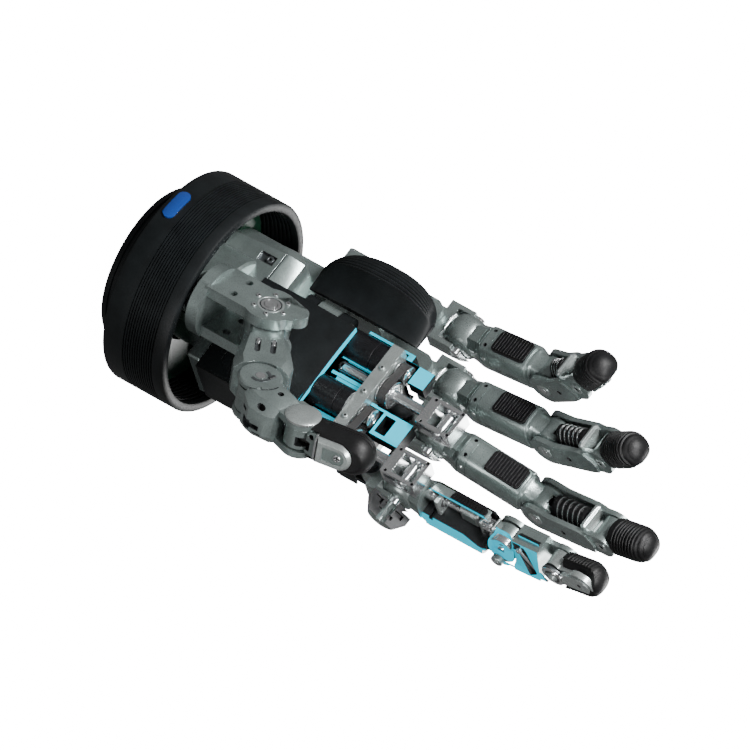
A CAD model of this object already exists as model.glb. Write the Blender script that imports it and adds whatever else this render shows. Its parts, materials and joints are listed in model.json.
"""Looks of a sectioned five-finger hand: machined housings, ribbed rubbers and painted cut faces.

Everything is modelled in millimetres. Finger and thumb pieces have a local frame on their CAD pivot, with z
towards the fingertip. In a finger x runs along the hinge and y towards the back of the hand. In the thumb
y runs along the hinge and x towards the thumb's outer side.
"""
import json
from math import acos, atan2, copysign, cos, pi, radians, sin, sqrt

import bmesh
import bpy
from mathutils import Matrix, Vector


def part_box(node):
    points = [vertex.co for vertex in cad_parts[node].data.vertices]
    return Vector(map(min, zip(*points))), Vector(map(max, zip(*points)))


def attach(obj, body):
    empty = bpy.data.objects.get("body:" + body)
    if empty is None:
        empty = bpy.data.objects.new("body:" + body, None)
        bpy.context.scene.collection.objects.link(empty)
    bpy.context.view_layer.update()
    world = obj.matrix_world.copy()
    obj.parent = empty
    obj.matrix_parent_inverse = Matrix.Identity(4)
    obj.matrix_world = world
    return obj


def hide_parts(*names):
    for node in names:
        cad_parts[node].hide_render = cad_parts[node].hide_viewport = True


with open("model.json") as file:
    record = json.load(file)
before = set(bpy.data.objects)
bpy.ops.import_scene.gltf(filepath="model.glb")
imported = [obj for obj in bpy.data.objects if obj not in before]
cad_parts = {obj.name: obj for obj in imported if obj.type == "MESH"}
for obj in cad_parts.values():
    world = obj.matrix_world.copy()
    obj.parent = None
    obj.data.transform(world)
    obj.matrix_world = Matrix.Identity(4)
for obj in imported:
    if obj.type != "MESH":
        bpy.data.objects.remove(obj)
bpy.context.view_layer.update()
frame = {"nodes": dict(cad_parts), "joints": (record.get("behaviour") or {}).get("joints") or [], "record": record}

MM = 0.001
EDGE_ANGLE = 32.0
JOINTS = {j["name"]: j for j in frame["joints"]}
FINGERS = ("index", "middle", "ring", "pinky")
X_AXIS = Vector((1, 0, 0))
Z_AXIS = Vector((0, 0, 1))


def pivot(joint):
    """A joint's point at rest, in millimetres."""
    return Vector(JOINTS[joint]["pos_m"]) / MM


def box_mm(node):
    """Low and high corners of a CAD node's box, in millimetres."""
    return [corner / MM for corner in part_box(node)]


def middle_xy(node):
    """The x and y of the middle of a CAD node's box, in millimetres."""
    lo, hi = box_mm(node)
    return (lo.x + hi.x) / 2, (lo.y + hi.y) / 2


def add(name, data):
    """A new object in the scene."""
    obj = bpy.data.objects.new(name, data)
    bpy.context.scene.collection.objects.link(obj)
    return obj


def span(side, near, far):
    """Low and high end of a stretch from near to far on one side, -1 or 1, of zero."""
    return sorted((side * near, side * far))


def local(origin, z_dir, x_dir=X_AXIS):
    """Matrix of a local frame at origin, with z along z_dir and x along x_dir."""
    z = Vector(z_dir).normalized()
    x = (Vector(x_dir) - z * z.dot(Vector(x_dir))).normalized()
    y = z.cross(x)
    m = Matrix((x, y, z)).transposed().to_4x4()
    m.translation = origin
    return m


# ---------------------------------------------------------------- materials
def noise(tree, scale, detail=4.0, stretch=(1, 1, 1)):
    """Object-space noise, with scale in features per millimetre."""
    coord = tree.nodes.new("ShaderNodeTexCoord")
    mapping = tree.nodes.new("ShaderNodeMapping")
    mapping.inputs["Scale"].default_value = [s * scale / MM for s in stretch]
    tex = tree.nodes.new("ShaderNodeTexNoise")
    tex.inputs["Scale"].default_value = 1.0
    tex.inputs["Detail"].default_value = detail
    tree.links.new(coord.outputs["Object"], mapping.inputs["Vector"])
    tree.links.new(mapping.outputs["Vector"], tex.inputs["Vector"])
    return tex.outputs["Fac"]


def ramp(tree, value, low, high):
    """Maps a 0.3 to 0.7 noise value to a range of numbers."""
    node = tree.nodes.new("ShaderNodeMapRange")
    node.inputs["From Min"].default_value = 0.3
    node.inputs["From Max"].default_value = 0.7
    node.inputs["To Min"].default_value = low
    node.inputs["To Max"].default_value = high
    tree.links.new(value, node.inputs["Value"])
    return node.outputs["Result"]


def mix_colors(tree, value, dark, light):
    node = tree.nodes.new("ShaderNodeMix")
    node.data_type = "RGBA"
    node.inputs["A"].default_value = (*dark, 1)
    node.inputs["B"].default_value = (*light, 1)
    tree.links.new(value, node.inputs["Factor"])
    return node.outputs["Result"]


def surface(name, color, metallic, roughness, spread=0.12, rough_spread=0.08, mottle=0.15,
            grain=4.0, bump=0.02, stretch=(1, 1, 1), coat=0.0, specular=0.5):
    """A surface with slow colour mottling, uneven gloss and a fine grain."""
    mat = bpy.data.materials.new(name)
    mat.use_nodes = True
    tree = mat.node_tree
    shader = tree.nodes["Principled BSDF"]
    cloud = noise(tree, mottle, 5.0)
    fine = noise(tree, grain, 6.0, stretch)
    dark = [c * (1 - spread) for c in color]
    light = [min(1.0, c * (1 + spread)) for c in color]
    tree.links.new(mix_colors(tree, ramp(tree, cloud, 0, 1), dark, light), shader.inputs["Base Color"])
    tree.links.new(ramp(tree, fine, roughness - rough_spread, roughness + rough_spread),
                   shader.inputs["Roughness"])
    node = tree.nodes.new("ShaderNodeBump")
    node.inputs["Strength"].default_value = 1.0
    node.inputs["Distance"].default_value = bump * MM
    tree.links.new(fine, node.inputs["Height"])
    tree.links.new(node.outputs["Normal"], shader.inputs["Normal"])
    shader.inputs["Metallic"].default_value = metallic
    shader.inputs["Coat Weight"].default_value = coat
    shader.inputs["Specular IOR Level"].default_value = specular
    return mat


def glow(mat, color, strength):
    """Makes a surface give off a little light of its own."""
    shader = mat.node_tree.nodes["Principled BSDF"]
    shader.inputs["Emission Color"].default_value = (*color, 1)
    shader.inputs["Emission Strength"].default_value = strength


GREY = surface("satin_grey", (0.235, 0.28, 0.272), 0.8, 0.31, bump=0.02, grain=5.0)
LIGHT = surface("machined_light", (0.42, 0.46, 0.452), 0.8, 0.28, stretch=(1, 1, 6), bump=0.015)
KNUCKLE = surface("satin_knuckle", (0.25, 0.29, 0.283), 0.8, 0.3, bump=0.02)
BRIGHT = surface("turned_steel", (0.62, 0.635, 0.64), 0.95, 0.2, spread=0.06, stretch=(1, 1, 9), bump=0.012)
DARK_METAL = surface("dark_steel", (0.10, 0.11, 0.115), 0.8, 0.34, bump=0.02)
BLACK_SHELL = surface("black_shell", (0.004, 0.005, 0.0055), 0.0, 0.5, spread=0.3, grain=2.5, bump=0.03,
                      specular=0.18)
BLACK_PAINT = surface("black_anodised", (0.004, 0.005, 0.0055), 0.1, 0.42, spread=0.25, bump=0.015,
                      specular=0.2)
RUBBER = surface("black_rubber", (0.003, 0.003, 0.0033), 0.0, 0.46, spread=0.3, grain=6.0, bump=0.05,
                 specular=0.22)
BELT = surface("belt_rubber", (0.02, 0.02, 0.02), 0.0, 0.6, bump=0.05)
MOTOR = surface("motor_black", (0.006, 0.006, 0.007), 0.2, 0.32, spread=0.2, stretch=(1, 1, 0.2), bump=0.01,
                specular=0.35)
BADGE = surface("badge_blue", (0.003, 0.03, 0.17), 0.0, 0.22, spread=0.08, bump=0.005, coat=0.6)
BOARD = surface("board_green", (0.003, 0.02, 0.010), 0.0, 0.4, spread=0.3, mottle=0.6, bump=0.03)
HOLE = surface("deep_black", (0.006, 0.007, 0.008), 0.0, 0.6, spread=0.2, bump=0.02)
CUT = surface("section_cyan", (0.0, 0.26, 0.36), 0.0, 0.6, spread=0.05, grain=3.0, bump=0.01,
              stretch=(1, 1, 5), specular=0.1)
glow(CUT, (0.0, 0.62, 0.85), 0.6)


# ---------------------------------------------------------------- mesh building, in millimetres
def solid(verts, faces, mat):
    mesh = bpy.data.meshes.new("part")
    mesh.from_pydata([tuple(v) for v in verts], [], faces)
    mesh.materials.append(mat)
    obj = bpy.data.objects.new("part", mesh)
    bm = bmesh.new()
    bm.from_mesh(mesh)
    bmesh.ops.recalc_face_normals(bm, faces=bm.faces)
    bm.to_mesh(mesh)
    bm.free()
    return obj


def turned(obj, matrix):
    """Moves a part by a matrix, in its own millimetres."""
    obj.data.transform(matrix)
    return obj


def shifted(obj, x=0.0, y=0.0, z=0.0):
    return turned(obj, Matrix.Translation((x, y, z)))


def spun(obj, degrees, axis="X"):
    return turned(obj, Matrix.Rotation(radians(degrees), 4, axis))


def aimed(obj, axis):
    """Turns a part made along z to lie along x, y or z."""
    if axis == "z":
        return obj
    return spun(obj, 90, "Y") if axis == "x" else spun(obj, -90, "X")


def rings(loops, mat, close=False):
    """Skin over equal loops of points. The ends are capped unless close joins last to first."""
    n = len(loops[0])
    verts = [p for loop in loops for p in loop]
    faces = []
    count = len(loops)
    for i in range(count if close else count - 1):
        a, b = i * n, ((i + 1) % count) * n
        for k in range(n):
            m = (k + 1) % n
            faces.append((a + k, a + m, b + m, b + k))
    if not close:
        faces.append(tuple(range(n))[::-1])
        faces.append(tuple((count - 1) * n + k for k in range(n)))
    return solid(verts, faces, mat)


def lathe(profile, mat, seg=72, close=False):
    """Turns (radius, z) points round the z axis."""
    loops = []
    for r, z in profile:
        loops.append([(r * cos(2 * pi * k / seg), r * sin(2 * pi * k / seg), z)
                      for k in range(seg)])
    return rings(loops, mat, close)


def rod(r, z0, z1, mat, seg=40, edge=0.0, at=(0, 0, 0), axis="z"):
    """A round bar from z0 to z1 along an axis through at, with a small chamfer."""
    e = min(edge, abs(z1 - z0) / 3, r / 2)
    profile = [(r - e, z0), (r, z0 + e), (r, z1 - e), (r - e, z1)] if e else [(r, z0), (r, z1)]
    return shifted(aimed(lathe(profile, mat, seg), axis), *at)


def rod_x(r, x0, x1, mat, seg=40, edge=0.0, at=(0, 0, 0)):
    return rod(r, x0, x1, mat, seg, edge, at, "x")


def rod_y(r, y0, y1, mat, seg=40, edge=0.0, at=(0, 0, 0)):
    return rod(r, y0, y1, mat, seg, edge, at, "y")


def washer(r_out, r_in, lo, hi, mat, axis="x", at=(0, 0, 0), seg=40):
    """A flat ring from lo to hi along an axis through at."""
    ring = lathe([(r_in, lo), (r_out, lo), (r_out, hi), (r_in, hi)], mat, seg, close=True)
    return shifted(aimed(ring, axis), *at)


def block(lo, hi, mat, edge=0.0):
    """A box, with every edge cut back by a small flat."""
    lo, hi = Vector(lo), Vector(hi)
    if not edge:
        verts = [(x, y, z) for x in (lo.x, hi.x) for y in (lo.y, hi.y) for z in (lo.z, hi.z)]
    else:
        verts = []
        for x, sx in ((lo.x, 1), (hi.x, -1)):
            for y, sy in ((lo.y, 1), (hi.y, -1)):
                for z, sz in ((lo.z, 1), (hi.z, -1)):
                    verts += [(x + sx * edge, y + sy * edge, z), (x + sx * edge, y, z + sz * edge),
                              (x, y + sy * edge, z + sz * edge)]
    return hull(verts, mat)


def hull(points, mat):
    """The convex solid round some points."""
    bm = bmesh.new()
    for p in points:
        bm.verts.new(p)
    bmesh.ops.convex_hull(bm, input=bm.verts)
    loose = [v for v in bm.verts if not v.link_faces]
    bmesh.ops.delete(bm, geom=loose, context="VERTS")
    bmesh.ops.dissolve_limit(bm, angle_limit=radians(1), verts=bm.verts, edges=bm.edges)
    bmesh.ops.recalc_face_normals(bm, faces=bm.faces)
    mesh = bpy.data.meshes.new("part")
    bm.to_mesh(mesh)
    bm.free()
    mesh.materials.append(mat)
    return bpy.data.objects.new("part", mesh)


def disc_points(cy, cz, r, seg=24, x0=0.0, x1=0.0):
    """Points of two equal circles in the y-z plane, at x0 and x1."""
    points = []
    for k in range(seg):
        a = 2 * pi * k / seg
        for x in (x0, x1):
            points.append((x, cy + r * cos(a), cz + r * sin(a)))
    return points


def plate(outline, x0, x1, mat):
    """A flat plate across x, with its outline in (y, z)."""
    return rings([[(x0, y, z) for y, z in outline], [(x1, y, z) for y, z in outline]], mat)


def arc(cy, cz, r, a0, a1, steps=12):
    """Points of a circular arc in (y, z), with angles in degrees from +y towards +z."""
    return [(cy + r * cos(radians(a0 + (a1 - a0) * k / steps)),
             cz + r * sin(radians(a0 + (a1 - a0) * k / steps))) for k in range(steps + 1)]


def arch(r, z0, zc, steps):
    """Outline in (y, z) with straight sides from z0 and a half circle round zc at its end."""
    return [(-r, z0)] + arc(0, zc, r, 180, 0, steps) + [(r, z0)]


def oval_bar(x0, x1, cy, cz, ry, rz, mat):
    """An oval bar across x, with a point at every quarter of a radian."""
    rim = [(cy + ry * cos(k / 4), cz + rz * sin(k / 4)) for k in range(25)]
    return hull([(x, y, z) for x in (x0, x1) for y, z in rim], mat)


def oval(half_w, front, back, z, n_front=2.2, n_back=3.2, seg=48, cx=0.0, cy=0.0):
    """One rounded cross-section: round towards the palm (-y), squarer at the back."""
    loop = []
    for k in range(seg):
        a = 2 * pi * k / seg
        c, s = cos(a), sin(a)
        n = n_back if s > 0 else n_front
        depth = back if s > 0 else front
        x = half_w * copysign(abs(c) ** (2 / n), c)
        y = depth * copysign(abs(s) ** (2 / n), s)
        loop.append((cx + x, cy + y, z))
    return loop


def loft(stations, mat, **shape):
    """Skin over ovals; each station is (z, half width, front, back)."""
    return rings([oval(w, f, b, z, **shape) for z, w, f, b in stations], mat)


def evaluated(obj):
    """A mesh with the object's modifiers applied."""
    bpy.context.view_layer.update()
    deps = bpy.context.evaluated_depsgraph_get()
    return bpy.data.meshes.new_from_object(obj.evaluated_get(deps))


def cut(obj, *tools):
    """Removes the tools from obj. The cut faces take the tools' materials."""
    scene = bpy.context.scene.collection
    scene.objects.link(obj)
    for tool in tools:
        scene.objects.link(tool)
        for slot in tool.data.materials:
            if slot.name not in [m.name for m in obj.data.materials]:
                obj.data.materials.append(slot)
        mod = obj.modifiers.new("cut", "BOOLEAN")
        mod.operation = "DIFFERENCE"
        mod.solver = "EXACT"
        mod.material_mode = "TRANSFER"
        mod.object = tool
    mesh = evaluated(obj)
    obj.modifiers.clear()
    obj.data = mesh
    scene.objects.unlink(obj)
    for tool in tools:
        bpy.data.objects.remove(tool)
    return obj


def from_cad(node, mat):
    """A copy of a CAD node's mesh in millimetres, with its flat faces joined up again."""
    obj = bpy.data.objects.new("part", frame["nodes"][node].data.copy())
    obj.data.transform(Matrix.Scale(1 / MM, 4))
    obj.data.materials.clear()
    obj.data.materials.append(mat)
    bm = bmesh.new()
    bm.from_mesh(obj.data)
    bmesh.ops.remove_doubles(bm, verts=bm.verts, dist=1e-3)
    bmesh.ops.dissolve_limit(bm, angle_limit=radians(1.0), verts=bm.verts, edges=bm.edges)
    for f in bm.faces:
        f.material_index = 0
    bm.to_mesh(obj.data)
    bm.free()
    return obj


def paint(obj, mat, test):
    """Gives mat to the faces whose centre and normal pass the test."""
    obj.data.materials.append(mat)
    index = len(obj.data.materials) - 1
    for poly in obj.data.polygons:
        if test(poly.center, poly.normal):
            poly.material_index = index
    return obj


def merged(parts):
    """Several parts as one mesh with all their materials."""
    mats = []
    bm = bmesh.new()
    for obj in parts:
        remap = {}
        for i, mat in enumerate(obj.data.materials):
            if mat not in mats:
                mats.append(mat)
            remap[i] = mats.index(mat)
        start = len(bm.faces)
        bm.from_mesh(obj.data)
        bm.faces.ensure_lookup_table()
        for f in bm.faces[start:]:
            f.material_index = remap.get(f.material_index, 0)
    mesh = bpy.data.meshes.new("piece")
    bm.to_mesh(mesh)
    bm.free()
    for mat in mats:
        mesh.materials.append(mat)
    return mesh


def joined(parts):
    return bpy.data.objects.new("part", merged(parts))


def soften(obj, edge, angle=EDGE_ANGLE):
    """Rounds an object's edges that turn by more than an angle, by edge millimetres."""
    bevel = obj.modifiers.new("edges", "BEVEL")
    bevel.width = edge * MM
    bevel.segments = 2
    bevel.limit_method = "ANGLE"
    bevel.angle_limit = radians(angle)
    bevel.use_clamp_overlap = True
    bevel.harden_normals = True


def piece(name, body, parts, at=None, replaces=(), edge=0.25, angle=EDGE_ANGLE):
    """Joins parts into one piece that rides on a CAD body, with softened edges."""
    mesh = merged(parts)
    mesh.transform(Matrix.Scale(MM, 4) @ (at or Matrix.Identity(4)))
    obj = add(name, mesh)
    mesh.shade_smooth()
    if edge:
        soften(obj, edge, angle)
    mesh.set_sharp_from_angle(angle=radians(angle))
    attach(obj, body)
    if replaces:
        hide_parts(*replaces)
    return obj


def screw_head(r, at, axis="z", mat=DARK_METAL, sense=1):
    """A socket cap screw's head, with its socket on the side that sense says."""
    head = rod(r, 0, 0.9 * r, mat, seg=28, edge=0.12 * r)
    socket = lathe([(0.5 * r, 0.35 * r), (0.5 * r, r)], HOLE, 6)
    head = cut(head, socket)
    if sense < 0:
        head = spun(head, 180, "X")
    return shifted(aimed(head, axis), *at)


# ---------------------------------------------------------------- wrist
SLEEVE_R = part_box("wrist_sleeve")[1].x / MM
SLEEVE_Z0, SLEEVE_Z1 = (corner.z for corner in box_mm("wrist_sleeve"))
FLANGE_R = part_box("wrist_flange")[1].x / MM


def wrist_sleeve():
    """Thin ribbed drum: a plain rear band, fine ribs, a rounded rim, and ribs inside."""
    r, z0, z1 = SLEEVE_R, SLEEVE_Z0, SLEEVE_Z1
    inner_r = r - 3.9
    rib_count, rib_pitch, rib_depth = 13, 1.12, 0.75
    inner_ribs = 9
    web_r = 24.3
    z_ribs = z0 + 9.6
    outer = [(r - 0.8, z0), (r - 0.2, z0 + 0.25), (r, z0 + 0.9)]
    for k in range(rib_count):
        z = z_ribs + k * rib_pitch
        outer += [(r, z), (r - rib_depth, z + 0.16), (r - rib_depth, z + 0.42),
                  (r, z + 0.6)]
    rim = [(r, z1 - 1.1), (r - 0.35, z1 - 0.35), (r - 1.1, z1),
           (inner_r + 1.0, z1), (inner_r + 0.3, z1 - 0.3),
           (inner_r, z1 - 1.0)]
    inner = []
    for k in range(inner_ribs):
        z = z1 - 3.0 - 2.0 * k
        inner += [(inner_r, z), (inner_r + 0.8, z - 0.3), (inner_r + 0.8, z - 0.9),
                  (inner_r, z - 1.2)]
    web = [(inner_r, z0 + 3), (web_r, z0 + 3), (web_r, z0)]
    drum = lathe(outer + rim + inner + web, BLACK_SHELL, 128, close=True)
    piece("sleeve_drum", "frame", [drum], replaces=["wrist_sleeve"], edge=0)


def wrist_flange():
    """Stepped, closed mounting flange with its bolt circle."""
    bolts = frame["record"]["mounts"][0]["dims"]
    bolt_r = bolts["pcd_mm"] / 2
    step_r = FLANGE_R - 1.5
    profile = [(0.1, 0), (step_r - 0.7, 0), (step_r, 0.7), (step_r, 2.6), (step_r - 0.5, 2.9),
               (step_r - 0.5, 3.7), (step_r, 4.0), (step_r, 6.9), (FLANGE_R - 0.4, 7.1), (FLANGE_R, 7.6),
               (FLANGE_R, SLEEVE_Z0), (0.1, SLEEVE_Z0)]
    ring = lathe(profile, BLACK_PAINT, 96)
    holes = []
    for k in range(bolts["count"]):
        a = radians(360 * k / bolts["count"])
        holes.append(shifted(rod(bolts["hole_r_mm"], -1, SLEEVE_Z0 + 1, HOLE, seg=20),
                             bolt_r * cos(a), bolt_r * sin(a)))
    piece("flange_ring", "frame", [cut(ring, *holes)], replaces=["wrist_flange"], edge=0.15)


def wrist_chassis():
    """Cast block behind the thumb and heel: faceted, with the thumb motor's round housing."""
    lo = box_mm("wrist_chassis")[0]
    base = pivot("thumb_opposition")
    z0, front = SLEEVE_Z0, -10.0
    drum = lathe([(0.1, z0), (24, z0), (24, z0 + 4.4), (23.4, z0 + 5), (20.4, z0 + 5),
                  (20, z0 + 5.6), (20, 39), (19, 40), (0.1, 40)], GREY, 96)
    pinky_block = hull([(-30, 12, 24), (-30, 12, 51), (-24, front, 24), (-26, front, 49), (0, front, 24),
                        (0, front, 47), (0, 12, 24), (0, 12, 46), (-12.2, front + 3, 55),
                        (-27, front + 4, 54.5), (-31, front + 7, 24), (-31, front + 7, 50), (-12.2, 10, 55),
                        (-28, 10, 55)], GREY)
    pocket = block((-22.5, front - 1, 38.5), (-18.5, front + 1.2, 45.5), DARK_METAL)
    groove = block((-32, front - 1, 47.3), (-12, front + 0.35, 47.7), HOLE)
    pinky_block = cut(pinky_block, pocket, groove)
    rear_block = hull([(x, y, z) for x in (lo.x + 1, -12.0) for y in (2, 13) for z in (39, 61.5)] +
                      [(lo.x, 4, 41), (lo.x, 11, 41), (lo.x, 4, 58), (lo.x, 11, 58)], GREY)
    deck = block((-12, -9.4, 39.5), (29, 18, 46), GREY, 0.8)
    housing = lathe([(0, z0 + 3.2), (9, z0 + 3.2), (9, 36), (8.6, 36.4), (8.6, 37.2), (9, 37.6), (9, 39.6),
                     (8.4, 40.2), (4.1, 40.2), (4.1, 32), (0, 32)], GREY, 72)
    housing = shifted(housing, base.x, base.y, 0)
    side_block = hull([(6.5, -21.5, 14), (17.5, -16, 14), (6.5, -21.5, 39.4), (17.5, -16, 39.4),
                       (6, -12, 14), (18, -9, 14), (6, -12, 39.4), (18, -9, 39.4)], GREY)
    boss = rod(3.4, 39, 41.6, GREY, seg=36, edge=0.3, at=(24, -4, 0))
    screw = screw_head(1.5, (-20.5, front + 1.0, 43.4), "y", sense=-1)
    piece("chassis_casting", "frame",
          [drum, pinky_block, rear_block, deck, housing, side_block, boss, screw],
          replaces=["wrist_chassis"], edge=0.35)


def cad_pieces():
    """CAD nodes that already have the real shape: they get softened edges and a finish."""
    looks = {
        "sleeve_badge": (BADGE, 0.3), "control_board": (BOARD, 0.1), "motor_plate": (LIGHT, 0.2),
        "fold_pin": (BRIGHT, 0.15), "palm_back_cover": (GREY, 0.6), "thumb_pins": (BRIGHT, 0.2),
        "flange_screws": (DARK_METAL, 0.1),
    }
    looks.update({f"{f}_pins": (BRIGHT, 0.2) for f in FINGERS})
    for node, (mat, edge) in looks.items():
        obj = frame["nodes"][node]
        obj.data.materials.clear()
        obj.data.materials.append(mat)
        obj.modifiers.new("weld", "WELD").merge_threshold = 1e-6
        soften(obj, edge)


wrist_sleeve()
wrist_flange()
wrist_chassis()
cad_pieces()


# ---------------------------------------------------------------- palm
PLATE_LO, PLATE_HI = box_mm("motor_plate")
PALM_LO = box_mm("palm_housing")[0]
SECTION_Y = -2.0
SECTION_Z = 89.0


def palm_housing():
    """Black palm shell. Its sectioned faces are painted, and the part behind the section is smooth."""
    shell = from_cad("palm_housing", BLACK_SHELL)

    def in_section(centre, normal):
        front = normal.y < -0.99 and abs(centre.y - SECTION_Y) < 0.1 and centre.z > SECTION_Z - 1
        edge = normal.z > 0.99 and abs(centre.z - SECTION_Z) < 0.1
        return front or edge

    paint(shell, CUT, in_section)
    piece("palm_shell", "frame", [shell], replaces=["palm_housing"], edge=0)


def palm_cover():
    """Smooth palmar skin of the closed part of the palm, ending in a thin painted edge at the section."""
    x0, x1, z0 = PALM_LO.x + 6.7, 31.0, PALM_LO.z
    loops = []
    steps, across = 14, 16
    for k in range(steps + 1):
        t = k / steps
        z = z0 + 0.4 + (SECTION_Z + 0.3 - z0) * t
        rise = 0.9 + 2.2 * sin(pi * t)
        loop = []
        for m in range(across + 1):
            u = m / across
            x = x0 + (x1 - x0) * u
            bulge = rise * (0.35 + 0.65 * sin(pi * u))
            loop.append((x, -10.0 - bulge + 1.6 * u * u, z))
        loop += [(x1 - 0.2, -7.6, z), (x0 + 0.2, -7.6, z)]
        loops.append(loop)
    skin = rings(loops, BLACK_SHELL)
    top = loops[-1][0][2]
    paint(skin, CUT, lambda centre, normal: normal.z > 0.9 and centre.z > top - 0.5)
    seam_z = z0 + 7.0
    seam = block((x0 + 3, -12.6, seam_z), (x1 - 4, -9.2, seam_z + 0.35), HOLE)
    piece("palm_skin", "frame", [cut(skin, seam)], edge=0.2)


def heel_pad():
    """Big rounded heel: long ribs round its outer ridge, and a smooth hollow inner face."""
    lo, hi = box_mm("heel_pad")
    steps, outer_steps, inner_steps = 60, 84, 16
    # the ribs' count, their depth, and the angle round the ridge where they begin
    rib_count, rib_depth, ribs_from = 7, 0.5, 0.42
    z_mid, half_z = (lo.z + hi.z) / 2, (hi.z - lo.z) / 2
    loops = []
    for i in range(steps + 1):
        t = sin(pi / 2 * (-1 + 2 * i / steps))
        size = max(0.03, 1 - abs(t) ** 2.4) ** 0.5
        z = z_mid + half_z * t
        outer_x = -29.5 - 15.4 * size
        ridge_x = -33.0 + 3.4 * (1 - size) - 1.5 * size
        ridge_y = hi.y - 9.8 * size
        flank = min(1.0, max(0.0, (size - 0.45) * 5))
        loop = []
        for k in range(outer_steps + 1):
            phi = pi / 2 * k / outer_steps
            wave = 0.0
            if phi > ribs_from:
                turn = (phi - ribs_from) / (pi / 2 - ribs_from) * rib_count
                wave = -rib_depth * flank * (0.5 - 0.5 * cos(2 * pi * turn)) ** 2
            x = ridge_x - (ridge_x - outer_x + wave) * cos(phi)
            y = hi.y - (hi.y - ridge_y + wave) * sin(phi)
            loop.append((x, y, z))
        inner_y = hi.y - 3.0 * size
        for k in range(1, inner_steps + 1):
            v = k / inner_steps
            sag = 1.5 * size * sin(pi * v) ** 0.8
            loop.append((ridge_x + (hi.x - 0.1 - ridge_x) * v, ridge_y + (inner_y - ridge_y) * v + sag, z))
        loop.append((hi.x - 0.1, hi.y, z))
        loops.append(loop)
    dome = rings(loops, BLACK_SHELL)
    piece("heel_dome", "outer_palm", [dome], replaces=["heel_pad"], edge=0, angle=40)


def outer_palm():
    """The casting that carries the ring finger and the little finger."""
    frame_part = from_cad("outer_palm_frame", GREY)
    piece("outer_palm_casting", "outer_palm", [frame_part], replaces=["outer_palm_frame"],
          edge=0.5)


# ---------------------------------------------------------------- drive
def toothed(r, z0, z1, teeth, mat):
    """A pulley's toothed rim."""
    loops = []
    for z in (z0, z1):
        loop = []
        for k in range(teeth):
            for step, radius in ((0.0, r), (0.42, r), (0.5, r - 0.32), (0.92, r - 0.32)):
                a = 2 * pi * (k + step) / teeth
                loop.append((radius * cos(a), radius * sin(a), z))
        loops.append(loop)
    return rings(loops, mat)


def pulleys():
    """Toothed rims between two flanges, on a hub. The two pinions are solid, and the pulleys are bored."""
    for name in ("middle_pulley", "index_pulley", "middle_pinion", "index_pinion"):
        lo, hi = box_mm(name)
        cx, cy, r = (lo.x + hi.x) / 2, (lo.y + hi.y) / 2, (hi.x - lo.x) / 2
        big = name.endswith("pulley")
        bore = 2.26 if big else 0.9
        z0, z1 = PLATE_HI.z + 0.3, hi.z
        flanges = [lathe([(bore, z0), (r - 0.25, z0), (r, z0 + 0.15), (r, z0 + 0.65), (r - 0.6, z0 + 0.8),
                          (bore, z0 + 0.8)],
                         BRIGHT, 56, close=True),
                   lathe([(bore, z1 - 0.8), (r - 0.6, z1 - 0.8), (r, z1 - 0.65), (r, z1 - 0.15),
                          (r - 0.25, z1), (r - 1.3, z1), (r - 1.5, z1 - 0.3), (bore + 1.0, z1 - 0.3),
                          (bore + 0.8, z1), (bore, z1)],
                         BRIGHT, 56, close=True)]
        rim = toothed(r - 0.75, z0 + 0.7, z1 - 0.7, 22 if big else 15, LIGHT)
        if big:
            hub_r = min(3.9, r - 1.2)
            hub = lathe([(bore, lo.z), (hub_r, lo.z), (hub_r, z0 + 0.2), (bore, z0 + 0.2)], BRIGHT, 40,
                        close=True)
            core = cut(rim, rod(bore, z0, z1, BRIGHT, seg=32))
        else:
            hub = rod(1.15, lo.z, z0 + 0.2, BRIGHT, seg=24)
            core = rim
        parts = [shifted(part, cx, cy) for part in flanges + [core, hub]]
        piece(f"{name}_turned", name, parts, replaces=[name], edge=0.06)


BELT_HALF, BELT_TOOTH = 0.35, 0.30


def belts():
    """Two toothed belts, each round its pinion and pulley."""
    for i, (small, large) in enumerate((("index_pinion", "index_pulley"),
                                        ("middle_pinion", "middle_pulley"))):
        a, b = Vector(middle_xy(small)), Vector(middle_xy(large))
        ra, rb = ((hi.x - lo.x) / 2 - BELT_HALF for lo, hi in (box_mm(small), box_mm(large)))
        d = (b - a).length
        lean = acos((rb - ra) / d)
        path = []
        for centre, radius, start, sweep, count in ((a, ra, lean, 2 * pi - 2 * lean, 20),
                                                    (b, rb, -lean, 2 * lean, 28)):
            for k in range(count):
                t = start + sweep * k / (count - 1)
                out = Vector((cos(t), sin(t)))
                path.append((centre + radius * out, out))
        fine = []
        for k, (p, n) in enumerate(path):
            q, m = path[(k + 1) % len(path)]
            count = max(1, round((q - p).length / 0.22))
            for s in range(count):
                fine.append((p.lerp(q, s / count), n.lerp(m, s / count).normalized()))
        z0, z1 = PLATE_HI.z + 1.3, PLATE_HI.z + 4.5
        verts, faces = [], []
        for k, (p, n) in enumerate(fine):
            tooth = BELT_TOOTH if (k // 2) % 2 else 0.0
            inner, outer = p - n * (BELT_HALF + tooth), p + n * BELT_HALF
            verts += [(inner.x, inner.y, z0), (outer.x, outer.y, z0), (outer.x, outer.y, z1),
                      (inner.x, inner.y, z1)]
        count = len(fine)
        for k in range(count):
            m = (k + 1) % count
            for e in range(4):
                g = (e + 1) % 4
                faces.append((4 * k + e, 4 * k + g, 4 * m + g, 4 * m + e))
        replaced = ["drive_belts"] if i == 0 else []
        piece(f"{small.removesuffix('_pinion')}_belt", "frame", [solid(verts, faces, BELT)],
              replaces=replaced, edge=0)


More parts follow.
